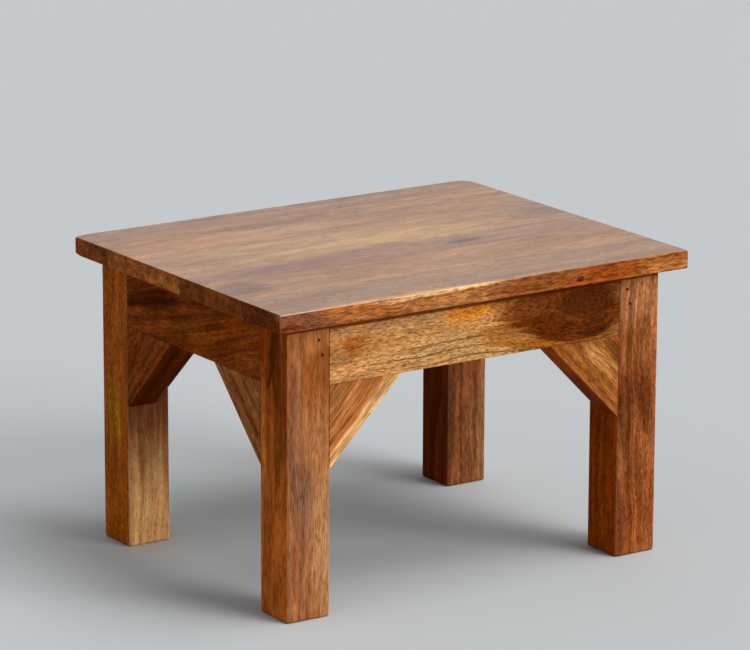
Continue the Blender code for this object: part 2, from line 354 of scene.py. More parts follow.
# How each piece's wood looks. Places and reaches are in millimetres from the middle of the piece, along the
# grain first. A patch has a place, a reach, a tone and how much of that tone shows. It goes right through the
# piece where its reach is THROUGH, and in Y where no Y is given.
THROUGH = 4000
EDGES_AND_ENDS = ("Z", 0.98, 0.75)
LEFT_FACE = ("X", -0.6, -0.8)
SLOPE = ("Z", -0.5, -0.65)
UPRIGHT = (0, QUARTER, 0)  # grain along Z; across the grain, Y stays and Z looks to -X
ENDWAYS = (0, 0, QUARTER)  # grain towards the front; across the grain, Y looks to +X

USUAL = dict(
    turn=(0, 0, 0), tilt=0.0, pith=(30, 60),
    tones=("b47c48", "8c5830", "522c14"),  # pale, mid and dark
    band_width=5.0, wander=16, ripple=1.0, ripple_length=7, fleck_length=14, fleck_width=1.4,
    flecks=0.3, mottle=0.2, lines=0.5, drift=1.0, patches=[], knot=None,
    # Faces turned another way, such as the seat's edges, may have a tone of their own, partly the wood's own
    # and partly a painted copy of how the wood looks on a lit or shaded side.
    second_tone=None, second_facing=None, second_flecks=0.3, second_mottle=0.2, second_patches=[],
    lacquered=False, wear_and_highlight=0.2, front_wear_and_highlight=0.2, under_seat_shade=0.0,
)
# Seat boards, back to front. Their tops look paler than their edges and ends, partly under the lacquer's own
# sheen and partly from paler, greyer tones and fainter flecks that paint that sheen in.
SEAT_LOOK = dict(
    pith=(12, 110), ripple=1.5, fleck_length=16, flecks=0.14, mottle=0.1, lines=0.35, drift=0.5,
    second_facing=EDGES_AND_ENDS, second_flecks=0.4, second_mottle=0.3, lacquered=True, wear_and_highlight=0.1,
)
BOARD_LOOKS = [
    dict(
        tones=("a57b61", "8b6551", "684838"), second_tone="88451c",
        patches=[((-72, 8, 0), (35, 4, THROUGH), "6f5148", 0.5)],
    ),
    dict(
        tones=("b98c68", "9c7256", "705042"), second_tone="9c5624",
        patches=[
            ((-150, 0, 0), (70, 40, THROUGH), "b27f58", 0.6),
            ((-20, 18, 0), (95, 13, THROUGH), "86614f", 0.6),
            ((-8, -4, 0), (34, 9, THROUGH), "b98d5e", 0.6),
        ],
        second_patches=[((-190, 20, 0), (40, 12, THROUGH), "743810", 0.8)],
    ),
    dict(
        tones=("be946c", "a9805e", "785844"), second_tone="975523",
        second_patches=[((-192, -15, -4), (40, 36, 5.5), "c47836", 0.9)],
        patches=[
            ((-5, -12, 0), (110, 22, THROUGH), "c39c6a", 0.6),
            ((-165, 0, 0), (40, 40, THROUGH), "a67c60", 0.6),
            ((170, 0, 0), (40, 40, THROUGH), "8a6e60", 0.6),
        ],
    ),
    dict(
        tones=("b08569", "976f5d", "70534c"), second_tone="763c12",
        patches=[
            ((-130, 0, 0), (80, 16, THROUGH), "835c50", 0.6),
            ((65, 0, 0), (24, 10, THROUGH), "5f4c4c", 0.8),
        ],
    ),
    dict(
        tones=("b98a64", "9e7352", "70503e"), second_tone="844818",
        second_patches=[((-192, -20, 0), (40, 16, THROUGH), "763a14", 0.8)],
        patches=[
            ((-170, 5, 0), (30, 18, THROUGH), "6f5549", 0.7),
            ((108, 16, 0), (36, 1.6, THROUGH), "6a4a3a", 0.8),
        ],
    ),
    dict(
        tones=("b08868", "967058", "6a5048"), ripple=2.4, ripple_length=9, fleck_length=8,
        second_tone="985a2e", front_wear_and_highlight=2.2, second_mottle=0.22,
        # A pale band along the left of the front arris is a painted highlight.
        patches=[((-110, -26, 0), (130, 5, THROUGH), "cfa07c", 0.8)],
        second_patches=[
            ((-117, 0), (44, THROUGH), "b56d36", 0.9),
            ((-80, -6), (75, 4), "7c4218", 0.5),
            ((-42, 0), (48, THROUGH), "b07442", 0.9),
            # A pale strip at the top of the front edge is a painted highlight.
            ((-50, 6), (75, 4), "ecb67a", 0.9),
            ((52, 0), (48, THROUGH), "8c4e24", 0.9),
            ((114, 0), (42, THROUGH), "984a1a", 0.95),
            ((166, 0), (32, THROUGH), "a86228", 0.9),
            ((170, -4), (26, 4.5), "cc8446", 0.85),
            ((-178, 0), (32, THROUGH), "804e34", 1.0),
            ((84, -3.5), (3.8, 2.3), "50200a", 0.9),
            ((-192, 4, 0), (30, 29, THROUGH), "6c2e08", 1.0),
        ],
    ),
]
# Legs, front left, front right, back left and back right.
# The left faces' redder, more saturated tone is partly painted shade: a copy of the wood as its shaded side
# looks.
LEG_LOOK = dict(turn=UPRIGHT, second_facing=LEFT_FACE, under_seat_shade=6.0)
LEG_LOOKS = [
    dict(
        tones=("b07244", "985e38", "68381c"), fleck_length=10, fleck_width=1.1, flecks=0.26, mottle=0.15,
        lines=0.28, second_tone="b46022",
        patches=[
            ((43, 14), (50, 6), "7e5440", 0.75),
            ((-22, 6), (50, 9), "7e5642", 0.8),
            ((88, -4), (44, 18), "985022", 0.8),
            # Painted light: the top of the leg is lightened against the seat's shadow.
            ((114, 2), (20, 26), "b8743e", 0.85),
            ((-85, -3), (50, 18), "9c6642", 0.7),
            ((-68, 12), (34, 6), "84502e", 0.6),
            ((-62, -13), (66, 11), "ae7c52", 0.85),
        ],
        second_patches=[
            # The upper part of the left face is darker, partly its own tone and partly painted shade under
            # the seat.
            ((80, 0), (75, THROUGH), "9c4c0c", 0.9),
            ((100, 13, 0), (40, 8, THROUGH), "9a3800", 0.7),
            ((88, -2, 0), (42, 10, THROUGH), "4c2006", 0.85),
            ((35, -9, 0), (50, 8, THROUGH), "743a0e", 0.8),
            ((50, -17, 0), (80, 6, THROUGH), "7c3408", 0.85),
            ((-8, 17, 0), (84, 10, THROUGH), "ce7834", 0.85),
        ],
    ),
    dict(
        tones=("a86438", "82461f", "4e240c"), fleck_length=5, fleck_width=1.0, flecks=0.34, ripple=2.2,
        ripple_length=6, second_tone="94420a",
        patches=[
            ((-2, 11), (40, 7), "5a2c12", 0.8),
            ((8, -8), (28, 7), "623016", 0.8),
            # Painted light: the top of the leg is lightened against the seat's shadow.
            ((98, 0), (34, 26), "b87a4c", 0.85),
            ((24, -2), (30, 18), "70381a", 0.6),
            ((-80, -4), (44, 18), "86441e", 0.7),
            ((-86, 14), (46, 8), "74381a", 0.7),
        ],
    ),
    dict(
        tones=("b27c4c", "9c673c", "764826"), fleck_length=4.5, fleck_width=1.0, ripple=2.0,
        ripple_length=5, flecks=0.15, mottle=0.1, lines=0.1, second_tone="a6561a", second_flecks=0.36,
        patches=[
            ((40, 4), (84, THROUGH), "84492a", 0.95),
            ((-122, -19, 16), (100, 26, 62), "d69f66", 0.95),
        ],
        second_patches=[
            ((-14, 4, 0), (36, 15, THROUGH), "a66e16", 0.8),
            ((-86, 0), (40, THROUGH), "b46014", 0.8),
        ],
    ),
    dict(
        tones=("865030", "64381c", "46240e"), fleck_length=6, fleck_width=1.1, flecks=0.28, mottle=0.26,
        lines=0.3, second_tone="682a04", second_flecks=0.2,
        patches=[((-75, -16), (80, 10), "9a683e", 0.8)],
    ),
]
APRON_LOOKS = dict(
    front=dict(
        tones=("cf9c64", "c28e54", "78441a"), ripple=1.5, ripple_length=6, fleck_length=4.5,
        fleck_width=0.95, flecks=0.4, mottle=0.12, lines=0.6, under_seat_shade=7.2,
        knot=dict(
            place=(107, -13, 5), reach=(27, 60, 15), flow=(48, 80, 44), push=0.5, heart="4c200a",
            ring="5c2c10", rings=4.6,
        ),
        patches=[
            ((-78, 15), (75, 8), "bc8c5c", 0.4),
            ((-118, 1), (16, 10), "c06c24", 0.85),
            ((-63, 6), (9, 3), "9a6a44", 0.6),
            ((-28, -7), (75, 0.9), "7a4a1e", 0.8),
            ((-50, -14), (80, 0.8), "80501f", 0.8),
            ((-25, -21), (70, 0.8), "7a4a1e", 0.8),
            ((40, 14), (40, 12), "9c6430", 0.8),
            ((-8, 13), (30, 7), "e08a28", 0.9),
            ((36, 7), (22, 6), "a05626", 0.8),
            ((112, 5), (76, 44), "783a12", 1.0),
            ((58, 6), (34, 9), "7c4018", 0.9),
            ((34, -6), (28, 7), "a8682e", 0.7),
            ((84, 12), (46, 26), "763a14", 1.0),
            ((76, 21), (52, 6), "84502c", 0.6),
            ((70, -5), (28, 11), "602a08", 0.9),
            ((44, -14), (38, 3.6), "b87028", 0.7),
            ((114, -10), (24, 10), "4c1e08", 0.8),
            ((120, -13), (32, 3.4), "b0702c", 0.8),
        ],
    ),
    right=dict(tones=("a86c36", "84501f", "4c280e")),
    back=dict(tones=("b87c46", "945e2e", "5a341a"), flecks=0.4, fleck_length=7, ripple=2.0, under_seat_shade=6.4),
    left=dict(
        tones=("904814", "6e320e", "3e1600"), tilt=math.radians(15), fleck_length=7, flecks=0.24,
        mottle=0.3, lines=0.3,
        patches=[
            ((-56, 21), (50, 9), "481a00", 0.85),
            ((12, -13), (26, 9), "984a0c", 0.8),
            ((60, -4), (40, 8), "904006", 0.6),
        ],
    ),
)
BRACE_LOOKS = dict(
    front_left=dict(
        tones=("c4864e", "a46436", "6e3a18"), fleck_length=26, flecks=0.32, lines=0.7,
        patches=[
            ((0, 28), (60, 10), "c67c44", 0.75),
            ((0, 2), (200, 6), "e0ae72", 0.9),
        ],
    ),
    front_right=dict(
        tones=("aa6c34", "905222", "623414"), fleck_length=8, lines=0.4, second_tone="7c2e00",
        second_flecks=0.2,
        patches=[
            ((12, 38), (20, 8), "643610", 0.8),
            ((-5, 5), (55, 7), "8a4a20", 0.7),
            ((13, 7), (14, 5), "85491f", 0.7),
            ((-2, 22), (26, 8), "bc8448", 0.7),
        ],
        second_patches=[((-28, 0), (24, THROUGH), "a0480c", 0.8)],
    ),
    right_front=dict(tones=("9c6230", "7e4a1e", "522c14")),
    right_back=dict(tones=("aa6c3a", "8a5226", "522c14")),
    back_left=dict(tones=("70401c", "563014", "34180a")),
    back_right=dict(tones=("a06a38", "7e4c22", "522c14")),
    left_back=dict(
        tones=("8a461a", "6e3216", "3c1600"), fleck_length=6, mottle=0.35, lines=0.3,
        second_tone="602600", second_flecks=0.15,
    ),
    left_front=dict(tones=("9e6232", "844c28", "542c04"), fleck_length=6, mottle=0.35, lines=0.3),
)

# How the wood is finished and worn.
PIECES_APART = 1.37  # along one endless wood, so that each piece has a figure of its own
OILED_IOR = 1.03  # a thin, matt, rubbed-in oil, which shines much less than a lacquer
FILLED_IOR = 1.06  # wood under lacquer, which soaks into it
LACQUER_IOR = 1.5
LACQUER_ROUGHNESS = 0.4
DEPTHS = (0.6, 1.2)  # of the darkest and the lightest flecks
ROUGHNESS = (0.52, 0.38)  # at these depths
GRAIN_BUMP = 0.3
GRAIN_HEIGHT = 0.3 * MM
KNOT_SMOOTHNESS = 0.7  # the share of its flecks that a knot lacks
PALE_WEAR_AND_HIGHLIGHT = "eec6a6"  # bare, pale wood where hands and sanding wear the edges, and a painted highlight along the seat's front arris
FRONT_HIGHLIGHT_STRETCH = (-10 * MM, 45 * MM)  # from the middle of the seat's front: where its painted highlight, with some wear, fades out
LEAST_UNEVEN = 0.4
# Painted shade: a dark band at the top of legs and aprons, where the seat's overhang shades them.
UNDER_SEAT_SHADE_COLOUR = "6a2400"
UNDER_SEAT_SHADE_FADE = 0.9 * MM
UNDER_SEAT_SHADE_STRENGTH = 0.85
DARK_ARRIS = "3c1c0c"
DARK_ARRIS_STRENGTH = 0.8
# Parts of a normal between which a face comes to look that way.
LOOKS_UP = (-0.2, 0.5)
LOOKS_AWAY_FROM_FRONT = (-0.35, -0.05)
LOOKS_ENDWAYS = (0.25, 0.5)


def new_material(name):
    """Gives a new material, what adds nodes to it, and its shader."""
    material = bpy.data.materials.new(name)
    material.use_nodes = True
    tree = material.node_tree
    return material, partial(add_node, tree), tree.nodes["Principled BSDF"]


def patched(add, figure, colour, patches):
    """Lays patches of other tones over a colour."""
    for place, reach, tone, amount in patches:
        if len(place) == 2:
            place = (place[0], 0, place[1])
            reach = (reach[0], THROUGH, reach[1])
        sockets = {name: figure[name] for name in ("Relief", "Bent", "Feather")}
        sockets |= {"Color": colour, "Tone": linear(tone), "Amount": amount}
        sockets |= {"Place": Vector(place) * MM, "Reach": Vector(reach) * MM}
        colour = add(GROUP, sockets, node_tree=TONED_PATCH)
    return colour


def mango_wood(piece, number, centre, look):
    """Mango wood, stained and oiled: a warm, matt figure. The seat's top has a satin lacquer's pale sheen."""
    look = {**USUAL, **look}
    knot = look["knot"]
    material, add, shader = new_material(f"oiled_mango_wood_{piece}")
    place = add("ShaderNodeTexCoord").outputs["Object"]
    facing = add("ShaderNodeNewGeometry").outputs["Normal"]
    facing = add(SEPARATE, facing).outputs
    spin = Euler((0, look["tilt"], 0)).to_matrix() @ Euler(look["turn"]).to_matrix()
    sockets = {"Vector": place, "Location": -(spin @ Vector(centre)), "Rotation": spin.to_euler()}
    spot = add("ShaderNodeMapping", sockets)
    grain = spot
    if knot:
        knot_place = Vector(knot["place"]) * MM
        sockets = {"Spot": spot, "Place": knot_place, "Reach": Vector(knot["flow"]) * MM}
        grain = add(GROUP, sockets | {"Push": knot["push"]}, node_tree=GRAIN_ROUND_KNOT)
    flecks = look["flecks"]
    mottle = look["mottle"]
    if look["second_tone"]:
        axis, start, end = look["second_facing"]
        turned = add(RANGE, facing[axis], start, end)
        flecks = add(RANGE, turned, {"To Min": flecks, "To Max": look["second_flecks"]})
        mottle = add(RANGE, turned, {"To Min": mottle, "To Max": look["second_mottle"]})
    pith = (PIECES_APART * number, look["pith"][0] * MM, look["pith"][1] * MM)
    sockets = {"Spot": grain, "Pith": pith, "Flecks": flecks, "Mottle": mottle}
    sockets |= {"Lines": look["lines"], "Drift": look["drift"]}
    sockets |= {name: linear(tone) for name, tone in zip(("Pale", "Mid", "Dark"), look["tones"])}
    sockets |= {size: look[size.lower().replace(" ", "_")] * MM for size in FIGURE_SIZES}
    figure = add(GROUP, sockets, node_tree=FIGURED_WOOD).outputs
    colour = patched(add, figure, figure["Color"], look["patches"])
    if look["second_tone"]:
        second = linear(look["second_tone"])[:3]
        second = add(VECTORS, "SCALE", second, {"Scale": figure["Relief"]})
        second = patched(add, figure, second, look["second_patches"])
        colour = add(MIX, "RGBA", {"Factor": turned, "A": colour, "B": second})
    stained = figure["Shade"]
    if knot:
        sockets = {"Color": colour, "Spot": spot, "Place": knot_place, "Reach": Vector(knot["reach"]) * MM}
        sockets |= {"Heart": linear(knot["heart"]), "Ring": linear(knot["ring"]), "Rings": knot["rings"]}
        rings = add(GROUP, sockets, node_tree=KNOT_RINGS).outputs
        colour = rings["Color"]
        # A knot is dense and has few flecks.
        smooth = add(RANGE, rings["Share"], {"To Max": KNOT_SMOOTHNESS})
        stained = add(MIX, "VECTOR", {"Factor": smooth, "A": stained, "B": (1.0, 1.0, 1.0)})
    colour = add(VECTORS, "MULTIPLY", colour, stained)
    if look["under_seat_shade"]:
        # Painted shade darkens the corner under the seat, where the overhang's shadow falls.
        height = add(SEPARATE, place).outputs["Z"]
        edge = SEAT_UNDERSIDE - look["under_seat_shade"] * MM
        darkened = add(RANGE, height, edge - UNDER_SEAT_SHADE_FADE, edge, {"To Max": UNDER_SEAT_SHADE_STRENGTH})
        colour = add(MIX, "RGBA", {"Factor": darkened, "A": colour, "B": linear(UNDER_SEAT_SHADE_COLOUR)})

    # The edges are rubbed pale in places. Along the left of the seat's front arris the pale is mostly a
    # painted highlight.
    arris = add("ShaderNodeAttribute", attribute_name="arris").outputs["Fac"]
    along = add(SEPARATE, spot).outputs["X"]
    wear_and_highlight = look["wear_and_highlight"]
    front_wear_and_highlight = add(RANGE, along, *FRONT_HIGHLIGHT_STRETCH, look["front_wear_and_highlight"], wear_and_highlight)
    front_wear_and_highlight = add(RANGE, facing["Z"], *LOOKS_UP, wear_and_highlight, front_wear_and_highlight)
    wear_and_highlight = add(RANGE, facing["Y"], *LOOKS_AWAY_FROM_FRONT, front_wear_and_highlight, wear_and_highlight)
    uneven = add(RANGE, figure["Feather"], *MOST_NOISE, {"To Min": LEAST_UNEVEN})
    uneven = add(MATH, "MULTIPLY", uneven, arris)
    wear_and_highlight = add(MATH, "MULTIPLY", wear_and_highlight, uneven)
    colour = add(MIX, "RGBA", {"Factor": wear_and_highlight, "A": colour, "B": linear(PALE_WEAR_AND_HIGHLIGHT)})
    if look["lacquered"]:
        # Polish gathers dark along the seat's ends.
        endways = add(MATH, "ABSOLUTE", facing["X"])
        endways = add(RANGE, endways, *LOOKS_ENDWAYS, {"To Max": DARK_ARRIS_STRENGTH})
        darkened = add(MATH, "MULTIPLY", endways, uneven)
        colour = add(MIX, "RGBA", {"Factor": darkened, "A": colour, "B": linear(DARK_ARRIS)})
    rough = add(RANGE, figure["Depth"], *DEPTHS, *ROUGHNESS)
    sockets = {"Height": figure["Depth"], "Strength": GRAIN_BUMP, "Distance": GRAIN_HEIGHT}
    relief = add("ShaderNodeBump", sockets)
    wire(shader, {"Base Color": colour, "Roughness": rough, "Normal": relief, "IOR": OILED_IOR})
    if look["lacquered"]:
        coat = add(MATH, "SUBTRACT", 1.0, turned)
        wire(shader, {"IOR": FILLED_IOR, "Coat Weight": coat})
        wire(shader, {"Coat Roughness": LACQUER_ROUGHNESS, "Coat IOR": LACQUER_IOR})
    return material


# Shapes.


def block(low, high):
    """A box between two corners."""
    bm = bmesh.new()
    bmesh.ops.create_cube(bm, size=1)
    for vert in bm.verts:
        vert.co = [near if part < 0 else far for part, near, far in zip(vert.co, low, high)]
    return bm


def skin(bm, rings):
    """Makes a closed body of rings that have as many points each."""
    bm.faces.new(rings[0])
    bm.faces.new(rings[-1])
    for near, far in zip(rings, rings[1:]):
        for here in range(len(near)):
            after = (here + 1) % len(near)
            bm.faces.new((near[here], near[after], far[after], far[here]))


def ease(bm, radius, chosen):
    """Rounds the edges that chosen picks; it takes the normals of an edge's two faces."""
    bm.normal_update()
    edges = [edge for edge in bm.edges if chosen(*[face.normal.copy() for face in edge.link_faces])]
    bmesh.ops.bevel(bm, geom=edges, offset=radius, segments=EASE_STEPS, profile=0.5, affect="EDGES")


def cut_to_lengths(bm):
    """Cuts a piece across every CUT_LENGTH or so, in all three directions."""
    low = Vector([min(vert.co[axis] for vert in bm.verts) for axis in range(3)])
    high = Vector([max(vert.co[axis] for vert in bm.verts) for axis in range(3)])
    for axis in range(3):
        count = round((high[axis] - low[axis]) / CUT_LENGTH)
        normal = Vector([float(axis == other) for other in range(3)])
        for step in range(1, count):
            point = low + (high - low) * step / count
            geometry = bm.verts[:] + bm.edges[:] + bm.faces[:]
            bmesh.ops.bisect_plane(bm, geom=geometry, dist=CUT_TOLERANCE, plane_co=point, plane_no=normal)


def sand(bm, depth, *more_flats):
    """Takes a little off the eased edges, unevenly, and marks those that hands rub as arris."""
    cut_to_lengths(bm)
    bm.normal_update()
    arris = bm.verts.layers.float.new("arris")
    flats = [*FLAT_SIDES, *more_flats]
    steepest = 1 - math.cos(EIGHTH)
    for vert in bm.verts:
        tilt = min(1 - max(face.normal.dot(flat) for flat in flats) for face in vert.link_faces)
        share = min(1.0, tilt / steepest)
        uneven = 0.5 + 0.5 * noise.noise(vert.co / SANDING_LENGTH)
        vert[arris] = share * (vert.normal.z > DOWN)
        vert.co -= vert.normal * depth * share * max(0.0, uneven)


def knock_corner(bm, corner, inwards):
    """Blunts a corner, as years of knocks do."""
    for vert in bm.verts:
        share = max(0.0, 1 - (vert.co - corner).length / KNOCK_REACH)
        vert.co += inwards.normalized() * KNOCK * share


def new_object(name, data):
    """Puts a mesh, a camera or a lamp in the scene."""
    obj = bpy.data.objects.new(name, data)
    bpy.context.scene.collection.objects.link(obj)
    return obj


def mesh_object(name, bm):
    """Puts what was shaped in the scene."""
    bmesh.ops.recalc_face_normals(bm, faces=bm.faces)
    mesh = bpy.data.meshes.new(name)
    bm.to_mesh(mesh)
    bm.free()
    return new_object(name, mesh)


def settle(obj):
    """Turns the modifiers' result into the object's own mesh."""
    graph = bpy.context.evaluated_depsgraph_get()
    changed = obj.evaluated_get(graph)
    mesh = bpy.data.meshes.new_from_object(changed, preserve_all_data_layers=True, depsgraph=graph)
    obj.modifiers.clear()
    obj.data = mesh
    mesh.name = obj.name


def finish_piece(piece, nodes):
    """Shades a piece and lets it stand for its CAD nodes."""
    piece.data.shade_smooth()
    piece.data.set_sharp_from_angle(angle=SMOOTH_ANGLE)
    weighted = piece.modifiers.new("flat_faces", "WEIGHTED_NORMAL")
    weighted.keep_sharp = True
    settle(piece)
    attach(piece, "root")
    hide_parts(*nodes)


# Nails and screws, and the holes that they sit in.

NAIL_FIT = 0.2 * MM  # room round a nail in its hole
NAIL_POINT = 4 * MM
NAIL_SIDES = 12
NAIL_STEPS = 12  # rings of points along its length
SCREW_SHANK = 4 * MM
SCREW_RIM = 0.8 * MM
SCREW_POINT = 6 * MM
SCREW_PITCH = 1.8 * MM
SCREW_THREAD = 0.6 * MM
SCREW_PLAIN = 12 * MM  # from the head to where the thread starts
SCREW_SLOT = (4.4 * MM, 0.9 * MM, 3.2 * MM)  # half of its height is in the metal
SCREW_SIDES = 20
SCREW_STEPS = 90
HOLE_SIDES = 16
HOLE_MOUTH = 30 * MM  # how far a drill reaches out past a fastener's head
TIP_WIDTH = 0.08  # of a fastener's point, as a share of its shank


def driven(name):
    """A fastener's head, the way it was driven, its length and its width, from its CAD node."""
    low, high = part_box(name)
    size = high - low
    axis = max(range(3), key=lambda one: size[one])
    middle = (low + high) / 2
    way = Vector((0, 0, 0))
    way[axis] = math.copysign(1, middle[axis])
    if name in PINS:
        way = -way
    across = [size[other] for other in range(3) if other != axis]
    return middle - way * size[axis] / 2, way, size[axis], max(across)


def hole(bm, name):
    """Adds the drill that makes a fastener's hole."""
    head, way, length, width = driven(name)
    wide = width / 2 + NAIL_FIT
    steps = [(-HOLE_MOUTH, wide), (length + NAIL_FIT, wide)]
    if name in SCREWS:
        narrow = SCREW_SHANK / 2 + NAIL_FIT
        cone_end = SCREW_RIM + wide - narrow
        steps = [(-HOLE_MOUTH, wide), (SCREW_RIM, wide), (cone_end, narrow), (length, narrow)]
    turn = way.to_track_quat("Z", "Y").to_matrix().to_4x4()
    rings = []
    for distance, radius in steps:
        place = Matrix.Translation(head + way * distance) @ turn
        rings.append(bmesh.ops.create_circle(bm, segments=HOLE_SIDES, radius=radius, matrix=place)["verts"])
    skin(bm, rings)


def wooden_piece(node, bm, number, centre, look, fasteners=()):
    """Makes the wooden piece that stands for a CAD node, with its fasteners' holes drilled."""
    piece = mesh_object(f"{node}_piece", bm)
    piece.data.materials.append(mango_wood(node, number, centre, look))
    if fasteners:
        drill_mesh = bmesh.new()
        for name in fasteners:
            hole(drill_mesh, name)
        drills = mesh_object("drills", drill_mesh)
        drilled = piece.modifiers.new("holes", "BOOLEAN")
        drilled.object = drills
        drilled.solver = "EXACT"
        settle(piece)
        bpy.data.objects.remove(drills)
    finish_piece(piece, [node])


def fastener_tree():
    """Turned steel fasteners on marked points: a head, a shank that may have a thread, and a point."""
    sizes = ("Length", "Shank Width", "Head Width", "Head Rim", "Point Length")
    inputs = {
        "Geometry": ("Heads",),
        "Float": (*sizes, "Thread Start", "Thread Pitch", "Thread Depth"),
        "Vector": ("Slot Size",),
        "Bool": ("Slotted",),
        "Int": ("Sides", "Steps"),
        "Material": ("Finish",),
    }
    outputs = {"Geometry": ("Geometry",)}
    tree, add, given, result = new_group("turned_fastener", inputs, outputs, "GeometryNodeTree")
    sockets = {"Vertices": given["Sides"], "Side Segments": given["Steps"], "Depth": given["Length"]}
    rod = add("GeometryNodeMeshCylinder", sockets | {"Radius": 1.0}, fill_type="TRIANGLE_FAN")
    spot = add("GeometryNodeInputPosition")
    part = add(SEPARATE, spot).outputs
    half = add(MATH, "MULTIPLY", given["Length"], 0.5)
    along = add(MATH, "ADD", part["Z"], half)
    # The point narrows the shank and its thread towards the far end.
    left = add(MATH, "SUBTRACT", given["Length"], along)
    narrowing = add(RANGE, left, 0.0, given["Point Length"], TIP_WIDTH, 1.0)
    # The thread rises and falls once round each turn.
    angle = add(MATH, "ARCTAN2", part["Y"], part["X"])
    angle = add(MATH, "DIVIDE", angle, math.tau)
    turns = add(MATH, "DIVIDE", along, given["Thread Pitch"])
    turns = add(MATH, "SUBTRACT", turns, angle)
    valley = add(MATH, "PINGPONG", turns, 0.5)
    valley = add(MATH, "MULTIPLY", valley, 2.0)
    threaded = add(MATH, "GREATER_THAN", along, given["Thread Start"])
    valley = add(MATH, "MULTIPLY", valley, threaded)
    valley = add(MATH, "MULTIPLY", valley, given["Thread Depth"])
    shank = add(MATH, "MULTIPLY", given["Shank Width"], 0.5)
    shank = add(MATH, "SUBTRACT", shank, valley)
    shank = add(MATH, "MULTIPLY", shank, narrowing)
    # The head is a rim, and under it a cone down to the shank.
    below_rim = add(MATH, "SUBTRACT", along, given["Head Rim"])
    below_rim = add(MATH, "MAXIMUM", below_rim, 0.0)
    head = add(MATH, "MULTIPLY", given["Head Width"], 0.5)
    head = add(MATH, "SUBTRACT", head, below_rim)
    radius = add(MATH, "MAXIMUM", shank, head)
    turned = add(COMBINE, part["X"], part["Y"])
    turned = add(VECTORS, "SCALE", turned, {"Scale": radius})
    raised = add(COMBINE, {"Z": along})
    turned = add(VECTORS, "ADD", turned, raised)
    metal = add("GeometryNodeSetPosition", {"Geometry": rod, "Position": turned})
    # Two crossed slots in the head.
    slot = add("GeometryNodeMeshCube", {"Size": given["Slot Size"]})
    crossing = add("GeometryNodeTransform", {"Geometry": slot, "Rotation": (0, 0, QUARTER)})
    cut = metal
    for cutter in (slot, crossing):
        sockets = {"Mesh 1": cut, "Mesh 2": cutter}
        cut = add("GeometryNodeMeshBoolean", sockets, operation="DIFFERENCE", solver="EXACT")
    sockets = {"Switch": given["Slotted"], "False": metal, "True": cut}
    one = add("GeometryNodeSwitch", sockets, input_type="GEOMETRY")
    way = add("GeometryNodeInputNamedAttribute", {"Name": "way"}, data_type="FLOAT_VECTOR")
    turn = add("FunctionNodeAlignRotationToVector", {"Vector": way}, axis="Z")
    sockets = {"Points": given["Heads"], "Instance": one, "Rotation": turn}
    every = add("GeometryNodeInstanceOnPoints", sockets)
    real = add("GeometryNodeRealizeInstances", {"Geometry": every})
    dressed = add("GeometryNodeSetMaterial", {"Geometry": real, "Material": given["Finish"]})
    wire(result, {"Geometry": dressed})
    return tree


FASTENER_TREE = fastener_tree()


def steel(name, bright, dull, spot, smoothest, roughest):
    """Steel whose plating or skin clouds over in spots of this size."""
    material, add, shader = new_material(name)
    place = add("ShaderNodeTexCoord").outputs["Object"]
    clouds = add(NOISE, {"Vector": place, "Scale": 1 / spot, "Detail": 3.0})
    clouds = add(RANGE, clouds, *MOST_NOISE)
    colour = add(MIX, "RGBA", {"Factor": clouds, "A": linear(bright), "B": linear(dull)})
    rough = add(RANGE, clouds, {"To Min": smoothest, "To Max": roughest})
    wire(shader, {"Base Color": colour, "Roughness": rough, "Metallic": 1.0})
    return material


def fasteners(piece_name, nodes, slot, **sizes):
    """One piece with all fasteners of a kind, each where its CAD node is."""
    placed = [driven(node) for node in nodes]
    mesh = bpy.data.meshes.new(piece_name)
    mesh.from_pydata([head for head, way, length, width in placed], [], [])
    ways = mesh.attributes.new("way", "FLOAT_VECTOR", "POINT")
    for mark, (head, way, length, width) in zip(ways.data, placed):
        mark.vector = way
    piece = new_object(piece_name, mesh)
    turning = piece.modifiers.new("turning", "NODES")
    turning.node_group = FASTENER_TREE
    head, way, length, width = placed[0]
    sizes = {"Length": length, "Head Width": width, "Shank Width": width, **sizes}
    for socket in FASTENER_TREE.interface.items_tree:
        if socket.name in sizes:
            turning[socket.identifier] = sizes[socket.name]
    settle(piece)
    finish_piece(piece, nodes)


# Old nails brown under the polish. Zinc plating stays silvery and a little cloudy.
NAIL_STEEL = steel("browned_drawn_steel", "8c4420", "5c2a10", 1.5 * MM, 0.45, 0.7)
SCREW_STEEL = steel("zinc_plated_steel", "c6c2b4", "9d998c", 2 * MM, 0.3, 0.5)


def nails_and_screws():
    """All pins, all brads and all screws. A nail has no thread, but its pitch still has to be something."""
    nail = {"Point Length": NAIL_POINT, "Thread Pitch": 1.0, "Sides": NAIL_SIDES, "Steps": NAIL_STEPS}
    fasteners("tenon_pins", PINS, "nail_steel", Finish=NAIL_STEEL, **nail)
    fasteners("brace_brads", BRADS, "nail_steel", Finish=NAIL_STEEL, **nail)
    screw = {"Shank Width": SCREW_SHANK, "Head Rim": SCREW_RIM, "Point Length": SCREW_POINT}
    screw |= {"Thread Start": SCREW_PLAIN, "Thread Pitch": SCREW_PITCH, "Thread Depth": SCREW_THREAD}
    screw |= {"Slot Size": SCREW_SLOT, "Slotted": True, "Sides": SCREW_SIDES, "Steps": SCREW_STEPS}
    fasteners("seat_screws", SCREWS, "screw_steel", Finish=SCREW_STEEL, **screw)


# Wooden pieces. Each kind's first piece has this number and the others follow it, so no two share a figure.

FIRST_BOARD = 1
FIRST_LEG = 11
FIRST_APRON = 21
FIRST_BRACE = 31
ALONG = {"front": 0, "right": 1, "back": 0, "left": 1}  # the axis that each side runs along


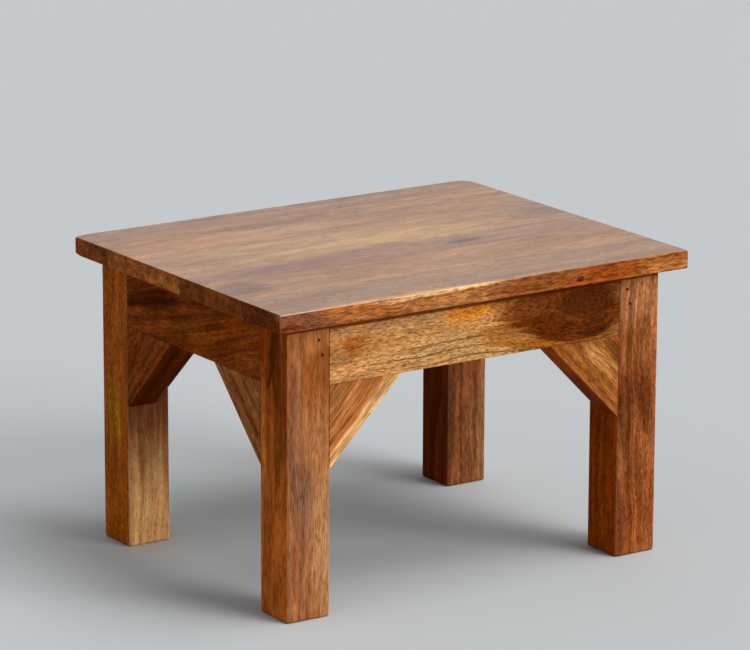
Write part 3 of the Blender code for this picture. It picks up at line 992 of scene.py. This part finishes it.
def seat_boards():
    """Boards edge to edge, each up to the middle of its joints, with the seat's outer edges eased."""
    for number, name in enumerate(BOARDS):
        low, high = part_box(name)
        first = number == 0
        last = number == len(BOARDS) - 1
        if not first:
            high.y = (high.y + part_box(BOARDS[number - 1])[0].y) / 2
        if not last:
            low.y = (low.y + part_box(BOARDS[number + 1])[1].y) / 2
        bm = block(low, high)

        def outer(normal):
            return abs(normal.y) < ASIDE or (first and normal.y > 0) or (last and normal.y < 0)

        rounding = SEAT_BACK_CORNER if first else SEAT_FRONT_CORNER
        ease(bm, rounding, lambda a, b: outer(a) and outer(b) and max(abs(a.z), abs(b.z)) < ASIDE)
        ease(bm, SEAT_EASE, lambda a, b: outer(a) and outer(b) and max(a.z, b.z) > TOWARDS)
        ease(bm, SEAT_UNDER_EASE, lambda a, b: outer(a) and outer(b) and min(a.z, b.z) < -TOWARDS)
        sand(bm, SANDING)
        if first:
            for along in (-1, 1):
                for upright in (-1, 1):
                    corner = Vector((high.x * along, high.y, high.z if upright > 0 else low.z))
                    knock_corner(bm, corner, Vector((-along, -1, -upright)))
        look = {**SEAT_LOOK, **BOARD_LOOKS[number]}
        wooden_piece(name, bm, FIRST_BOARD + number, (low + high) / 2, look)


def legs():
    """Legs up to the seat, with holes for the pins in their fronts and backs and for the braces' brads."""
    for number, name in enumerate(LEGS):
        low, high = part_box(name)
        high.z = SEAT_UNDERSIDE
        bm = block(low, high)
        ease(bm, LEG_EASE, lambda a, b: max(a.z, b.z) < ASIDE)
        sand(bm, SANDING)
        look = {**LEG_LOOK, **LEG_LOOKS[number]}
        depth, side = name.split("_")[1:]
        # The pins in the left and right faces are stopped with filler, so no holes show there.
        nails = [pin for pin in PINS if pin.startswith(f"pin_{depth}_{side}_")]
        nails += [f"brad_{depth}_{side}_leg", f"brad_{side}_{depth}_leg"]
        wooden_piece(name, bm, FIRST_LEG + number, (low + high) / 2, look, nails)


def aprons():
    """Aprons from leg to leg, up to the seat, with holes for the braces' brads and the seat's screws."""
    for number, side in enumerate(ENDS):
        name = f"apron_{side}"
        low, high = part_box(name)
        along = ALONG[side]
        low[along] = -LEG_INSIDE[along]
        high[along] = LEG_INSIDE[along]
        high.z = SEAT_UNDERSIDE
        bm = block(low, high)
        ease(bm, RAIL_EASE, lambda a, b: max(a.z, b.z, abs(a[along]), abs(b[along])) < ASIDE)
        sand(bm, RAIL_SANDING)
        look = dict(turn=ENDWAYS if along else (0, 0, 0), **APRON_LOOKS[side])
        nails = [brad for brad in BRADS if brad.startswith(f"brad_{side}_") and brad.endswith("_apron")]
        nails += [screw for screw in SCREWS if screw.startswith(f"screw_{side}")]
        wooden_piece(name, bm, FIRST_APRON + number, (low + high) / 2, look, nails)


def braces():
    """Triangular braces in the corners of aprons and legs, with holes for their brads."""
    corners = [(side, end) for side, ends in ENDS.items() for end in ends]
    for number, (side, end) in enumerate(corners):
        along = ALONG[side]
        through = 1 - along
        name = f"brace_{side}_{end}"
        low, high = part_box(name)
        middle = (low + high) / 2
        sign = math.copysign(1, middle[along])
        corner = sign * LEG_INSIDE[along]
        tip = corner - sign * (high[along] - low[along])
        outline = ((corner, APRON_BOTTOM), (tip, APRON_BOTTOM), (corner, low.z))
        bm = bmesh.new()
        rings = []
        for depth in (low[through], high[through]):
            ring = []
            for place, height in outline:
                point = (depth, place, height) if along else (place, depth, height)
                ring.append(bm.verts.new(point))
            rings.append(ring)
        skin(bm, rings)
        bmesh.ops.recalc_face_normals(bm, faces=bm.faces)
        slope = Vector((0, 0, -1))
        slope[along] = -sign
        slope.normalize()

        def slope_edge(a, b):
            sideways = max(abs(a[through]), abs(b[through]))
            return min(max(a.dot(slope), b.dot(slope)), sideways) > TOWARDS

        ease(bm, RAIL_EASE, slope_edge)
        sand(bm, RAIL_SANDING, slope)
        # The grain runs along the slope, and across the grain Z looks from the slope to the corner.
        grain = dict(turn=ENDWAYS, tilt=sign * EIGHTH) if along else dict(tilt=-sign * EIGHTH)
        look = dict(second_facing=SLOPE, **grain, **BRACE_LOOKS[f"{side}_{end}"])
        brads = [brad for brad in BRADS if brad.startswith(f"brad_{side}_{end}_")]
        wooden_piece(name, bm, FIRST_BRACE + number, middle, look, brads)


seat_boards()
legs()
aprons()
braces()
nails_and_screws()

# Camera, at the photograph's viewing angle.

LENS = 211.19
CAMERA_AZIMUTH = math.radians(-33.826)
CAMERA_ELEVATION = math.radians(14.461)
CAMERA_ROLL = math.radians(0.198)
CAMERA_DISTANCE = 3.5423
CAMERA_SIDEWAYS = -0.0031
CAMERA_UPWARDS = 0.05565

turn = Euler((QUARTER - CAMERA_ELEVATION, 0, CAMERA_AZIMUTH)).to_matrix()
stand = (cad_box[0] + cad_box[1]) / 2 + turn @ Vector((CAMERA_SIDEWAYS, CAMERA_UPWARDS, CAMERA_DISTANCE))
turn = turn @ Matrix.Rotation(CAMERA_ROLL, 3, "Z")
lens = bpy.data.cameras.new("camera")
lens.lens = LENS
lens.sensor_fit = "HORIZONTAL"
camera = new_object("camera", lens)
camera.matrix_world = Matrix.Translation(stand) @ turn.to_4x4()
bpy.context.scene.camera = camera

# Floor and light. The floor is under matt, pale grey paint.

FLOOR_REACH = 7
FLOOR_COLOUR = "c0c4c6"
FLOOR_ROUGHNESS = 0.8
WALL_COLOUR = "cdd2d4"
FILL_LIGHT = 0.36
LAMP_WIDTH = math.radians(34)  # as seen from the stool, for soft shadows

bm = bmesh.new()
bmesh.ops.create_grid(bm, x_segments=1, y_segments=1, size=FLOOR_REACH)
floor = mesh_object("studio_floor", bm)
floor_paint, _, floor_shader = new_material("matt_painted_floor")
wire(floor_shader, {"Base Color": linear(FLOOR_COLOUR), "Roughness": FLOOR_ROUGHNESS})
floor.data.materials.append(floor_paint)

# The air looks like a pale wall to the camera and in reflections, and lights the rest more faintly.
world = bpy.data.worlds.new("studio_air")
bpy.context.scene.world = world
world.use_nodes = True
world.node_tree.nodes.clear()
add = partial(add_node, world.node_tree)
ray = add("ShaderNodeLightPath").outputs
seen = add(MATH, "MAXIMUM", ray["Is Camera Ray"], ray["Is Glossy Ray"])
fill = add("ShaderNodeBackground", linear("ffffff"), FILL_LIGHT)
wall = add("ShaderNodeBackground", linear(WALL_COLOUR), 1.0)
both = add("ShaderNodeMixShader", seen, fill, wall)
add("ShaderNodeOutputWorld", both)


def far_softbox(name, way, level):
    """A wide lamp so far off that it lights all evenly, and a white surface that faces it to this level."""
    lamp = bpy.data.lights.new(name, "SUN")
    lamp.angle = LAMP_WIDTH
    lamp.energy = level * math.pi
    obj = new_object(name, lamp)
    obj.rotation_euler = Vector(way).to_track_quat("Z", "Y").to_euler()
    obj.visible_glossy = False  # only the even air shows in the lacquer, from every side


far_softbox("front_softbox", (0.40, -0.80, 0.45), 0.62)
far_softbox("overhead_softbox", (0.30, -0.25, 0.92), 0.45)

bpy.context.scene.view_settings.view_transform = "Standard"
